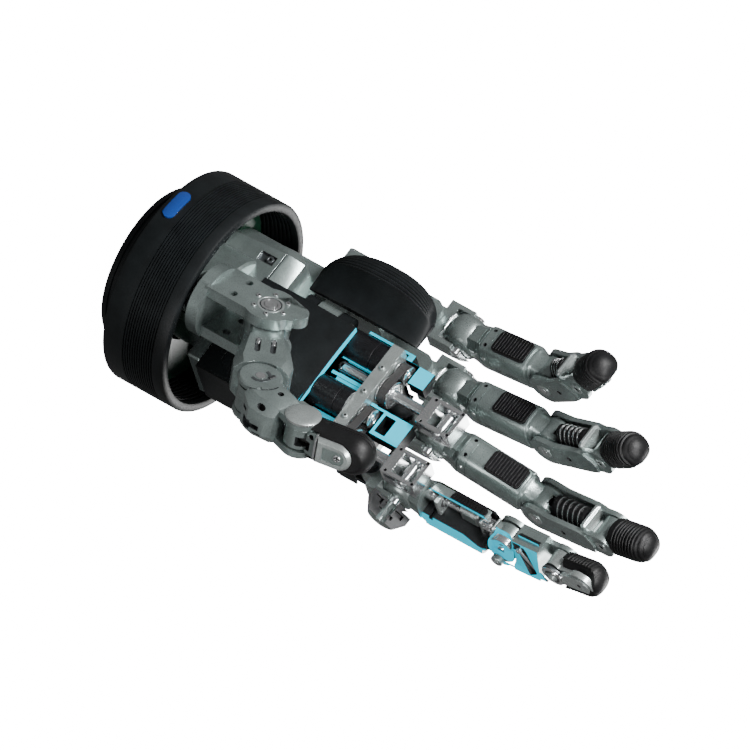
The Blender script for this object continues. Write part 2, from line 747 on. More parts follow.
def motors():
    """Two black motors with a stepped foot and a seam near the drive plate."""
    r, z0, z1 = 6.3, 84.0, PLATE_LO.z
    parts = []
    for name in ("index_pinion", "middle_pinion"):
        cx, cy = middle_xy(name)
        parts.append(shifted(lathe([(0, z0), (r - 1.4, z0), (r - 0.7, z0 + 0.6), (r - 0.7, z0 + 2),
                                    (r, z0 + 2.4), (r, z1 - 5), (r - 0.25, z1 - 4.8), (r - 0.25, z1 - 4.3),
                                    (r, z1 - 4.1), (r, z1), (0, z1)], MOTOR, 72), cx, cy))
    piece("drive_motors", "frame", parts, replaces=["finger_motors"], edge=0)


def spindle_tail():
    """Tail of the middle spindle with its ball eye, between two thin channel walls."""
    shaft_x, y = middle_xy("middle_pulley")
    eye_z, eye_r, wall_x, wall_half = 91.5, 2.3, 3.7, 0.7
    turns = [pi * k / 12 for k in range(1, 12)]
    ball = lathe([(eye_r * sin(a), eye_z - eye_r * cos(a)) for a in turns], BRIGHT, 32)
    eye = cut(ball, rod_y(1.0, -4, 4, HOLE, 20, at=(0, 0, eye_z)))
    stem = lathe([(1.4, 93), (1.9, 93.6), (1.9, 97), (1.6, 97.3), (1.6, PLATE_LO.z + 0.2)], BRIGHT, 32)
    channel = [block((shaft_x + s * wall_x - wall_half, SECTION_Y - 0.35, SECTION_Z),
                     (shaft_x + s * wall_x + wall_half, 0.5, PLATE_LO.z), BLACK_SHELL) for s in (-1, 1)]
    for wall in channel:
        paint(wall, CUT, lambda centre, normal: normal.y < -0.9)
    piece("spindle_tail", "middle_clevis",
          [shifted(eye, shaft_x, y), shifted(stem, shaft_x, y)], edge=0)
    piece("shaft_channel", "frame", channel, edge=0)


def plate_screws():
    """Three small screws in the palm-side edge of the drive plate."""
    z = (PLATE_LO.z + PLATE_HI.z) / 2
    heads = [screw_head(1.0, (x, PLATE_LO.y - 0.05, z), "y", LIGHT, -1) for x in (-5.0, 6.6, 19.0)]
    piece("plate_screws", "frame", heads, edge=0)


def clevis(finger):
    """Bright pull frame with a long recess in each side and a screw hole near each palm-side corner."""
    name = f"{finger}_clevis"
    lo, hi = box_mm(name)
    frame_part = from_cad(name, BRIGHT)
    recesses = [block((x0, lo.y + 1.6, hi.z - 14.2), (x1, lo.y + 3.6, hi.z - 3.0), DARK_METAL)
                for x0, x1 in ((lo.x - 1, lo.x + 0.5), (hi.x - 0.5, hi.x + 1))]
    holes = [rod_y(0.62, lo.y - 1, lo.y + 1.4, HOLE, 16, at=(x, 0, z))
             for x in (lo.x + 1.0, hi.x - 1.0) for z in (hi.z - 1.1, hi.z - 13.6)]
    frame_part = cut(frame_part, *recesses, *holes)
    piece(f"{name}_frame", name, [frame_part], replaces=[name], edge=0.22)


palm_housing()
palm_cover()
heel_pad()
outer_palm()
pulleys()
belts()
motors()
spindle_tail()
plate_screws()
clevis("middle")
clevis("index")


# ---------------------------------------------------------------- fingers
FINGER_JOINTS = {
    "index": ("index_proximal", "index_distal", "index_tip"),
    "middle": ("middle_proximal", "middle_distal", "middle_tip"),
    "ring": ("ring_flex", "ring_middle", "ring_tip"),
    "pinky": ("pinky_flex", "pinky_middle", "pinky_tip"),
}
TIP_BEND = {"index": 9, "middle": 10, "ring": 15, "pinky": 17}
# grip pads: distances back from the far end of the proximal link, and the ribs across them
PAD_START, PAD_END = 26.0, 10.0
RIB_W, RIB_PITCH = 0.72, 1.32
TIP_LEN, TIP_R = 23.0, 7.0
HALF_W = 7.25
RIM_TILT = 37.8
# section of the index finger: x = SECTION_X + SECTION_SLOPE * (y + 12)
SECTION_X, SECTION_SLOPE = 0.3, 7.5 / 24
# where the palm-side wall of that finger ends
SECTION_FRONT = -1.4


def finger_frames(f):
    """Matrices of the three links at rest, and the two link lengths."""
    p0, p1, p2 = (pivot(name) for name in FINGER_JOINTS[f])
    tip_dir = Matrix.Rotation(radians(TIP_BEND[f]), 3, "X") @ (p2 - p1)
    return local(p0, p1 - p0), local(p1, p2 - p1), local(p2, tip_dir), (p1 - p0).length, (p2 - p1).length


def rounded_prism(half_x, z0, z1, y0, y1, r, mat):
    """A slab facing the palm with rounded corners."""
    loops = []
    for y in (y0, y1):
        loop = []
        for cx, cz, start in ((half_x - r, z1 - r, 0), (r - half_x, z1 - r, 90), (r - half_x, z0 + r, 180),
                              (half_x - r, z0 + r, 270)):
            for k in range(7):
                a = radians(start + 15 * k)
                loop.append((cx + r * cos(a), y, cz + r * sin(a)))
        loops.append(loop)
    return rings(loops, mat)


def section_tool(z0, z1, mat=CUT):
    """Everything on the open side of the index finger's section."""
    x1 = SECTION_X + SECTION_SLOPE * 24
    corners = [(SECTION_FRONT, -12), (SECTION_FRONT + 0.6, -6), (SECTION_X + SECTION_SLOPE * 10, -2),
               (x1, 12), (18, 12), (18, -12)]
    return rings([[(x, y, z) for x, y in corners] for z in (z0, z1)], mat)


def paint_section(obj, matrix, mat):
    """Gives mat to the faces of a world-frame copy that lie in a link's section plane."""
    inverse = matrix.inverted()
    turn = inverse.to_3x3()
    normal = Vector((1, -SECTION_SLOPE, 0)).normalized()

    def test(centre, face_normal):
        c = inverse @ centre
        in_plane = abs(c.x - SECTION_X - SECTION_SLOPE * (c.y + 12)) < 0.1
        return in_plane and (turn @ face_normal).dot(normal) > 0.99

    return paint(obj, mat, test)


def knuckle(f):
    """Half-ball knuckle with a bright rim. The index knuckle has dark slots in its rim instead."""
    part = from_cad(f"{f}_knuckle", KNUCKLE)
    rim = Matrix.Rotation(radians(-RIM_TILT), 3, "X") @ Vector((0, -1, 0))
    paint(part, KNUCKLE if f == "index" else BRIGHT, lambda centre, normal: normal.dot(rim) > 0.995)
    base = Matrix.Translation(pivot(FINGER_JOINTS[f][0]))
    if f == "index":
        tilt = base @ Matrix.Rotation(radians(-RIM_TILT), 4, "X")
        slots = [turned(block((9.7, -0.5, z0), (11.9, 1.6, z1), HOLE), tilt)
                 for z0, z1 in ((-7.2, -3.6), (-2.6, 1.6), (2.6, 6.6))]
        slots.append(turned(block((12.9, -0.5, -3.4), (14.6, 1.4, 3.4), HOLE), tilt))
        slots.append(turned(rod_x(1.1, 15, 20, HOLE, 20), base))
        part = cut(part, *slots)
    body = "frame" if f == "middle" else f"{f}_knuckle"
    piece(f"{f}_half_ball", body, [part], replaces=[f"{f}_knuckle"], edge=0.25)


def octagon(z, half_w, front, back):
    """Flat-sided neck outline."""
    k = 0.56
    return [(half_w, -front * k, z), (half_w * k, -front, z), (-half_w * k, -front, z),
            (-half_w, -front * k, z), (-half_w, back * k, z), (-half_w * k, back, z), (half_w * k, back, z),
            (half_w, back * k, z)]


def housing(l, back):
    """Outer skin of a proximal link: faceted neck, collar, body, valley ring and waist."""
    w, front = HALF_W, 8.4
    body = loft([(12.4, w - 0.1, front - 0.3, back - 0.1), (12.9, w, front - 0.1, back),
                 (13.0, w - 0.35, front - 0.5, back - 0.4), (13.35, w - 0.35, front - 0.5, back - 0.4),
                 (13.45, w, front, back), (16.9, w, front, back),
                 (16.95, w - 0.25, front - 0.25, back - 0.25), (17.2, w - 0.25, front - 0.25, back - 0.25),
                 (17.25, w, front, back), (l - 9.4, w, front, back),
                 (l - 9.0, w - 0.12, front - 0.15, back - 0.15),
                 (l - 8.7, w - 0.6, front - 0.75, min(back, 7.5) - 0.5),
                 (l - 8.0, w - 0.75, front - 0.95, 6.8), (l - 7.6, w - 0.7, front - 1.0, 6.7),
                 (l - 7.0, 5.3, front - 1.3, 6.4), (l - 4.6, 5.2, 6.3, 6.2), (l - 1.0, 5.1, 5.6, 5.6)], GREY,
                n_front=2.9, n_back=3.4, seg=64)
    neck = rings([octagon(7.6, 5.9, 5.2, min(back, 7.5) - 1.2),
                  octagon(12.5, w - 0.25, front - 0.6, back - 0.3)], GREY)
    return body, neck


def hinge_barrel():
    """Rounded drum at the knuckle hinge with a flat-sided neck growing out of it."""
    profile = [(0.1, -6.6), (5.0, -6.6), (6.6, -5.8), (7.6, -4.4), (8.1, -2.2), (8.2, 0), (8.1, 2.2),
               (7.6, 4.4), (6.6, 5.8), (5.0, 6.6), (0.1, 6.6)]
    drum = spun(lathe(profile, KNUCKLE, 72), 90, "Y")
    neck = rings([octagon(0.5, 5.0, 5.0, 5.4), octagon(6.0, 5.8, 6.4, 6.0), octagon(10.6, 6.4, 7.0, 6.4)],
                 GREY)
    return [drum, neck]


def grip_pocket(l, y1):
    """Pocket for a grip pad, down to y1 in the palm side of a proximal link of length l."""
    return rounded_prism(4.95, l - PAD_START - 0.15, l - PAD_END + 0.15, -10, y1, 1.9, HOLE)


def grip(l, y1):
    """A grip pad's slab, which rests on y1, and its ribs."""
    slab = rounded_prism(4.8, l - PAD_START, l - PAD_END, -8.85, y1, 1.8, RUBBER)
    ribs = []
    z = l - PAD_START + 0.9
    while z < l - PAD_END - 1.0:
        ribs.append(rounded_prism(4.2, z, z + RIB_W, -9.35, -8.6, 0.3, RUBBER))
        z += RIB_PITCH
    return slab, ribs


def proximal(f):
    """Grey link between the knuckle and the middle joint, with its grip pad."""
    m0, _, _, l, _ = finger_frames(f)
    body, neck = housing(l, 7.5)
    clear = rod_x(10, -20, 20, HOLE, 96)
    pocket = grip_pocket(l, -7.65)
    holes = [rod_y(0.75, -9, -6.6, HOLE, 20, at=(s * 3.5, 0, 15.2)) for s in (-1, 1)]
    slits = [block((s * HALF_W - 0.6, 0.9, z0), (s * HALF_W + 0.6, 1.45, z1), HOLE)
             for s in (-1, 1) for z0, z1 in ((19.5, 22.5), (24.5, 30.5))]
    body = cut(body, pocket, *holes, *slits)
    neck = cut(neck, clear)
    end = rod_x(6.5, -5.2, 5.2, GREY, 16, edge=1.1, at=(0, 0, l))
    end = cut(end, block((-2.0, -8, l + 2.0), (2.0, -3.2, l + 4.4), HOLE))
    button = rod_x(0.9, HALF_W - 0.2, HALF_W + 0.15, LIGHT, 20, at=(0, -3.4, 15.2))
    lever = [drive_lever(f)] if f == "middle" else []
    piece(f"{f}_proximal_housing", f"{f}_proximal",
          [body, neck, end] + hinge_barrel() + [button] + lever, at=m0, replaces=[f"{f}_proximal"], edge=0.22)
    slab, ribs = grip(l, -7.6)
    piece(f"{f}_grip", f"{f}_proximal", [slab] + ribs, at=m0, replaces=[f"{f}_pad"], edge=0.18)


def drive_lever(f):
    """Drive lever with its cross roller, built in the link's frame."""
    bend, phi, hw = {"middle": (-8, 22.85, 3.2), "index": (1, 18.85, 1.4)}[f]
    arm = hull([(x, y, z) for x in (-hw, hw) for y, z in ((-15, -2.0), (-15, 2.0), (-7, -2.3), (-7, 2.3))],
               GREY)
    roller = rod_x(2.4, -hw, hw, BRIGHT, 36, at=(0, -15, 0))
    axle = rod_x(1.9, -6, 6, BRIGHT, 36, edge=0.2, at=(0, -15, 0))
    return spun(joined([arm, roller, axle]), -bend - phi, "X")


def side_plate(x0, x1, l):
    """Outer plate of a middle link: round boss at P1, flat body and a narrow neck towards P2."""
    outline = arc(0, 0, 6.8, 175, 365, 26) + [(6.4, l - 9.5), (5.6, l - 4), (2.0, l - 3.2), (-4.2, l - 6.2),
                                             (-5.2, l - 9), (-4.8, 8)]
    return plate(outline, x0, x1, GREY)


def middle_link(f):
    """Two side plates and ears on a spine, with the ringed rubber gaiter on the palm side."""
    _, m1, _, _, l = finger_frames(f)
    parts = []
    ear_outline = arc(0, l, 5.8, -15, 195, 24) + [(-5.0, l - 7.5), (5.4, l - 8.5)]
    for s in (-1, 1):
        hole = rod_x(1.15, *span(s, 6.6, 8.5), HOLE, 24, at=(0, 1.2, l * 0.42))
        side = cut(side_plate(*span(s, 5.55, 7.55), l), hole, rod_x(1.62, -9, 9, HOLE, 32))
        ear = cut(plate(ear_outline, *span(s, 4.7, 6.8), GREY), rod_x(1.55, -9, 9, HOLE, 28, at=(0, 0, l)))
        parts += [side, washer(3.1, 1.7, *span(s, 7.5, 7.8), LIGHT), ear,
                  washer(2.6, 1.2, *span(s, 6.7, 7.0), LIGHT, at=(0, 0, l))]
    spine = loft([(5.6, 6.0, 1.0, 6.5), (6.6, 6.6, 1.6, 6.6), (l - 9, 6.4, 1.6, 6.4),
                  (l - 6.4, 5.4, 1.2, 5.6)], GREY,
                 n_front=6, n_back=3.2)
    spine = cut(spine, rod_x(7.2, -20, 20, HOLE, 72), rod_x(6.4, -20, 20, HOLE, 64, at=(0, 0, l)))
    bridge = block((-5.6, -7.0, l - 9.2), (5.6, 2.0, l - 6.7), LIGHT, 0.6)
    lip = block((-4.4, -7.5, l - 8.6), (4.4, -6.4, l - 7.0), LIGHT, 0.3)
    piece(f"{f}_middle_frame", f"{f}_middle", parts + [spine, bridge, lip], at=m1,
          replaces=[f"{f}_middle"], edge=0.25)
    z0, z1 = 7.4, l - 9.3
    stations = []
    count = 4 if l < 30 else 6
    pitch = (z1 - z0) / count
    hoops = []
    for k in range(count + 1):
        z = z0 + k * pitch
        stations.append((z, 4.7, 8.0, 0.5))
        if k < count:
            stations.append((z + pitch * 0.5, 4.9, 8.4, 0.5))
        if 0 < k < count:
            hoops.append(loft([(z - 0.28, 4.6, 8.0, 0.4), (z - 0.22, 4.85, 8.42, 0.4),
                               (z + 0.22, 4.85, 8.42, 0.4), (z + 0.28, 4.6, 8.0, 0.4)],
                              BRIGHT, n_front=2.0, n_back=4))
    bellow = loft(stations, RUBBER, n_front=2.0, n_back=4)
    bellow = cut(bellow, rod_x(7.1, -20, 20, RUBBER, 64))
    piece(f"{f}_gaiter", f"{f}_middle", [bellow] + hoops, at=m1, replaces=[f"{f}_bellows"],
          edge=0)


def tip_dome(length, r, z0, back, ribs_from, pitch):
    """Rubber fingertip with rings of fine ribs, flat at its back."""
    # groove depth, the share of a pitch that stays plain, and the step between sections
    depth, plain, step = 0.5, 0.6, 0.19
    stations = []
    z = z0
    centre = length - r
    while z < length - 0.02:
        radius = r if z <= centre else sqrt(max(0.0, r * r - (z - centre) ** 2))
        phase = ((z - ribs_from) % pitch) / pitch
        groove = depth if ribs_from < z < length - 0.9 and phase > plain else 0.0
        radius = max(0.15, radius - groove)
        stations.append((z, radius, radius, min(radius, back)))
        z += pitch * step
    stations.append((length, 0.12, 0.12, 0.12))
    return loft(stations, RUBBER, n_front=2.1, n_back=2.6, seg=56)


def tip(f):
    """Metal core of a fingertip, its rubber dome and, except on the index finger, a nail with a screw."""
    _, _, m2, _, _ = finger_frames(f)
    core = from_cad(f"{f}_tip", LIGHT if f == "index" else GREY)
    if f == "index":
        paint_section(core, m2, DARK_METAL)
    piece(f"{f}_tip_core", f"{f}_tip", [core], replaces=[f"{f}_tip"], edge=0.3)
    dome = tip_dome(TIP_LEN, TIP_R, 4.6, 5.7, 6.5, 1.5)
    tools = [rod_x(6.35, -20, 20, RUBBER, 64), block((-4.7, 0.1, -1), (4.7, 8, 18.4), RUBBER),
             block((-4.4, -3.9, -1), (4.4, 0.5, 11.1), RUBBER)]
    if f == "index":
        tools.append(section_tool(-6, 30, RUBBER))
    dome = cut(dome, *tools)
    piece(f"{f}_dome", f"{f}_tip", [dome], at=m2, replaces=[f"{f}_tip_rubber"], edge=0)
    if f != "index":
        nail = block((-4.2, 5.3, 7.6), (4.2, 5.95, 16.4), GREY, 0.3)
        screw = screw_head(1.1, (0, 5.75, 12.2), "y")
        piece(f"{f}_tip_trim", f"{f}_tip", [nail, screw], at=m2, edge=0.12)


# ---------------------------------------------------------------- sectioned index finger
SCREW_X, SCREW_Y = -1.4, -2.6


def index_proximal():
    """The sectioned proximal housing, with its hook, hinge drum, drive lever and grip."""
    m0, _, _, l, _ = finger_frames("index")
    body, neck = housing(l, 10.0)
    clear = rod_x(10, -20, 20, CUT, 96)
    hollow = [(-7.3, 9), (-7.3, l - 4.5), (2.6, l - 4.5), (4.6, l - 9), (4.6, 37), (2.6, 30)]
    notch = [(2.6, 15.6), (4.0, 15.6), (4.0, 13.8), (2.6, 13.8)]
    cavity, neck_cavity = (plate(hollow + step + [(2.6, 9)], -6.1, 20, HOLE) for step in (notch, []))
    pocket = grip_pocket(l, -7.9)
    body = cut(cut(body, cavity, pocket), section_tool(10.6, l + 10))
    neck = cut(cut(neck, clear, neck_cavity), section_tool(10.6, l + 10))
    end = rod_x(6.3, -5.2, 5.2, GREY, 48, edge=0.6, at=(0, 0, l))
    end = cut(end, section_tool(l - 9, l + 9))
    drum = [rod_x(4.6, 0.4, 2.4, DARK_METAL, 56, edge=0.3, at=(0, 0, l)),
            washer(5.6, 4.7, 0.6, 3.2, BRIGHT, at=(0, 0, l)),
            washer(2.4, 1.2, 2.2, 3.4, BRIGHT, at=(0, 0, l))]
    hook = plate(arc(0, l, 6.3, 30, 120, 12) + arc(0, l, 5.3, 120, 30, 12), 1.2, 3.6, CUT)
    piece("index_proximal_housing", "index_proximal",
          [body, neck, end, drive_lever("index"), hook] + hinge_barrel() + drum, at=m0,
          replaces=["index_proximal"], edge=0)
    slab, ribs = grip(l, -7.85)
    slab = cut(slab, section_tool(0, l))
    ribs = [cut(rib, section_tool(0, l, RUBBER)) for rib in ribs]
    piece("index_grip", "index_proximal", [slab] + ribs, at=m0, replaces=["index_pad"], edge=0)


def index_drive():
    """Coupling, bearing plate, screw, nut block and the small gear train beside it."""
    m0 = finger_frames("index")[0]
    x, y = SCREW_X, SCREW_Y

    def on_axis(profile, mat, seg=40, close=False):
        return shifted(lathe(profile, mat, seg, close), x, y)

    motor = [on_axis([(1.3, 10.2), (2.4, 10.2), (2.4, 13.4), (2.15, 13.6), (2.15, 14.1), (2.4, 14.3),
                      (2.4, 16.0), (1.3, 16.0)], BRIGHT, close=True),
             cut(block((x - 4.0, y - 3.8, 16.2), (x + 3.9, y + 6.0, 17.9), LIGHT, 0.25),
                 rod(1.3, 10, 20, HOLE, seg=32, at=(x, y, 0))),
             on_axis([(1.5, 17.9), (2.7, 17.9), (2.7, 18.2), (1.5, 18.2)], BRIGHT, close=True),
             screw_head(0.6, (x + 2.6, y + 4.2, 17.8), "z", LIGHT),
             screw_head(0.6, (x - 2.4, y + 4.2, 17.8), "z", LIGHT)]
    piece("index_coupling", "index_proximal", motor, at=m0, replaces=["index_motor"],
          edge=0.08)
    thread_end, thread_pitch = 35.6, 0.6
    thread = [(0.2, 12.2), (1.15, 12.3), (1.15, 18.3), (1.8, 18.35), (1.8, 19.25), (1.15, 19.3), (1.15, 20.4)]
    z = 20.4
    while z < thread_end:
        thread += [(1.2, z + 0.1), (1.2, z + 0.3), (0.92, z + 0.42), (0.92, z + 0.55)]
        z += thread_pitch
    thread += [(1.0, 36.0), (0.2, 36.2)]
    piece("index_lead_screw", "index_screw", [on_axis(thread, BRIGHT, 32)], at=m0,
          replaces=["index_screw"], edge=0)
    nut = [cut(part, rod(1.27, 20, 40, HOLE, seg=28, at=(x, y, 0)))
           for part in (block((x - 3.9, y - 3.5, 26.1), (x + 1.5, y + 3.9, 34.9), LIGHT, 0.7),
                        block((x - 2.9, y - 2.6, 27.4), (x + 1.75, y + 2.9, 33.6), GREY, 0.5))]
    piece("index_nut_block", "index_nut", nut, at=m0, replaces=["index_nut"], edge=0.1)
    train = []
    for dx, dy, r, z0, z1 in ((1.0, -2.2, 0.8, 36.4, 43.4), (1.2, 0.6, 1.0, 36.4, 42.4),
                              (-1.8, -1.0, 0.8, 36.4, 44.0)):
        train.append(rod(r, z0, z1, BRIGHT, seg=28, edge=0.15, at=(x + dx, y + dy, 0)))
    train += [shifted(toothed(1.7, 39.6, 41.2, 14, BRIGHT), x + 1.0, y - 2.0),
              shifted(toothed(1.9, 41.0, 42.6, 16, LIGHT), x + 1.2, y + 1.6),
              block((x - 3.6, y - 3.6, 36.3), (x + 2.4, y + 4.8, 37.5), LIGHT, 0.25),
              block((x - 3.6, y - 3.4, 42.2), (x + 2.4, y + 5.4, 43.0), LIGHT, 0.2)]
    piece("index_gear_train", "index_proximal", train, at=m0, edge=0.06)


def index_middle():
    """The sectioned middle link with a pocket at its far joint, its diagonal screw and the cut gaiter."""
    _, m1, _, _, l = finger_frames("index")
    part = from_cad("index_middle", GREY)
    paint_section(part, m1, CUT)
    pocket = turned(plate(arc(0, l, 6.6, 0, 360, 40)[:-1], 0.0, 9, HOLE), m1)
    groove = spun(block((2.2, -2.1, -6.5), (9, 2.1, 7.5), HOLE, 0.4), 118, "X")
    relief = block((2.0, -8.5, 5.5), (9, -3.6, 10.5), HOLE, 0.4)
    part = cut(part, pocket, turned(shifted(groove, 0, -1.0, 12.5), m1), turned(relief, m1))
    piece("index_middle_block", "index_middle", [part], replaces=["index_middle"], edge=0)
    diagonal = spun(joined([rod(0.75, -5.4, 4.2, BRIGHT, seg=24),
                            rod(1.25, 4.0, 5.6, BRIGHT, seg=28, edge=0.2)]),
                    118, "X")
    extras = [shifted(diagonal, 3.3, -1.0, 12.5),
              rod_x(2.6, 5.4, 7.9, GREY, 40, edge=0.3, at=(0, 4.0, -1.2)),
              washer(1.5, 0.8, 7.8, 8.1, BRIGHT, at=(0, 4.0, -1.2))]
    piece("index_middle_screw", "index_middle", extras, at=m1, edge=0.1)
    z0, z1 = 7.6, l - 8.4
    bellow = loft([(z0, 4.7, 8.4, 0.5), (z1, 4.6, 8.2, 0.5)], RUBBER, n_front=2.2, n_back=4)
    bellow = cut(bellow, rod_x(7.1, -20, 20, RUBBER, 64), block((-6, -6.9, 0), (6, 3, l), RUBBER),
                 section_tool(0, l, CUT))
    piece("index_gaiter", "index_middle", [bellow], at=m1, edge=0)


def index_tip_detail():
    """Pulley disc, pin and link inside the sectioned fingertip."""
    _, _, m2, _, _ = finger_frames("index")
    disc = [rod_x(5.4, 3.4, 4.6, DARK_METAL, 56, edge=0.3), washer(5.0, 3.4, 4.5, 5.0, BRIGHT),
            washer(2.2, 0.9, 4.5, 5.3, LIGHT)]
    core = hull(disc_points(-0.4, 7.5, 3.4, 24, 3.0, 5.0) + disc_points(-0.2, 14.4, 4.6, 32, 3.0, 5.0), LIGHT)
    core = cut(core, rod_x(0.9, 4.4, 6, HOLE, 24, at=(0, -0.4, 14.2)))
    link = [rod_x(0.55, 4.9, 6.2, BRIGHT, 20, edge=0.1, at=(0, -3.0, 6.4)),
            block((4.9, -3.4, 2.4), (5.5, -2.5, 7.2), BRIGHT, 0.15),
            rod_x(1.2, 4.6, 5.8, BRIGHT, 24, edge=0.2, at=(0, -3.0, 2.6))]
    arc_trim = plate(arc(-0.2, 14.4, 6.2, 0, 200, 24) + arc(-0.2, 14.4, 5.2, 200, 0, 24), 2.0, 4.4, LIGHT)
    piece("index_tip_works", "index_tip", disc + [core, arc_trim] + link, at=m2, edge=0.1)


for finger in FINGERS:
    knuckle(finger)
    tip(finger)
    if finger != "index":
        proximal(finger)
        middle_link(finger)
index_proximal()
index_drive()
index_middle()
index_tip_detail()


# ---------------------------------------------------------------- thumb
THUMB_TURN, THUMB_TIP_LEAN = -30.0, -12.0


def thumb_frames():
    """Matrices of the thumb's base, metacarpal, proximal link and tip; x points to the thumb's outer side."""
    turn = radians(THUMB_TURN)
    x_dir = Vector((cos(turn), sin(turn), 0))
    j1, j2, j3 = (pivot(name) for name in ("thumb_flexion", "thumb_middle", "thumb_end"))
    lean = radians(THUMB_TIP_LEAN)
    tip_dir = x_dir * sin(lean) + Z_AXIS * cos(lean)
    return [local(at, z_dir, x_dir) for at, z_dir in ((j1, Z_AXIS), (j1, j2 - j1), (j2, j3 - j2),
                                                      (j3, tip_dir))]


def washer_y(r_out, r_in, y0, y1, mat, x=0.0, z=0.0):
    """A ring across y."""
    return washer(r_out, r_in, y0, y1, mat, "y", (x, 0, z), 48)


def thumb_turntable():
    """Two ears on a round base. The near ear carries an open bearing with a ring of small screws."""
    base, _, _, _ = thumb_frames()
    part = turned(from_cad("thumb_turntable", GREY), base.inverted())
    near = -11.3
    part = cut(part, rod_y(4.3, near - 2, near + 1.3, DARK_METAL, 48),
               *[rod_y(1.15, near - 2, near + 1.6, HOLE, 24, at=(x, 0, -14)) for x in (-5, 5)])
    trim = [washer_y(3.9, 2.7, near - 0.15, near + 1.3, BRIGHT),
            washer_y(5.2, 4.5, near - 0.1, near + 0.1, LIGHT)]
    for k in range(6):
        a = radians(20 + 60 * k)
        trim.append(screw_head(0.95, (6.7 * cos(a), near + 0.35, 6.7 * sin(a)), "y", BRIGHT, -1))
    piece("thumb_base_bracket", "thumb_turntable", [part], at=base,
          replaces=["thumb_turntable"], edge=0.45)
    piece("thumb_base_bearing", "thumb_turntable", trim, at=base, edge=0.1)


def thumb_section(z, x0, x1, half, chamfer):
    """A rectangle at height z with its four corners cut off."""
    c = chamfer
    return [(x, y, z) for x, y in ((x0, half - c), (x0 + c, half), (x1 - c, half), (x1, half - c),
                                   (x1, c - half), (x1 - c, -half), (x0 + c, -half), (x0, c - half))]


def thumb_metacarpal():
    """Wedge that widens towards its far joint, with two long slots and their pins on the palm side."""
    _, meta, _, _ = thumb_frames()
    far = (pivot("thumb_middle") - pivot("thumb_flexion")).length
    body = rings([thumb_section(9, -6.2, 5.2, 5.9, 1.5), thumb_section(17, -9.2, 8.6, 8.3, 2.4),
                  thumb_section(far - 12, -12.0, 11.0, 8.9, 3.2),
                  thumb_section(far - 7.5, -10.6, 10.4, 8.7, 3.4)], GREY)
    clear = [rod_y(9.3, s * 5.45, s * 14, GREY, 96, at=(0, 0, far)) for s in (-1, 1)]
    slots = []
    pins = []
    for x in (-3.3, 2.7):
        slots.append(hull([(x + dx, y, z) for dx in (-1.1, 1.1) for y in (-12, -7.2) for z in (19.4, 27.6)]
                          + [(x, y, z) for y in (-12, -7.2) for z in (18.4, 28.4)], DARK_METAL))
        pins.append(rod(0.95, 18.8, 22.0, BRIGHT, seg=24, edge=0.25, at=(x, -7.6, 0)))
    body = cut(body, rod_y(11, -20, 20, GREY, 96), *clear, *slots)
    neck = [rod_y(9, -6.4, 6.4, GREY, 72, edge=0.6), block((-6.6, -6.3, 0), (6.4, 6.3, 14), GREY, 1.0)]
    tongue = cut(hull([(p[1], y, p[2]) for p in disc_points(0, far, 8.0, 48) for y in (-5.3, 5.3)]
                      + [(x, y, far - 14) for x in (-6.4, 6.4) for y in (-5.3, 5.3)], GREY),
                 rod_y(2.1, -9, 9, HOLE, 32, at=(0, 0, far)))
    piece("thumb_metacarpal_body", "thumb_metacarpal", [body] + neck + [tongue] + pins, at=meta,
          replaces=["thumb_metacarpal"], edge=0.3)


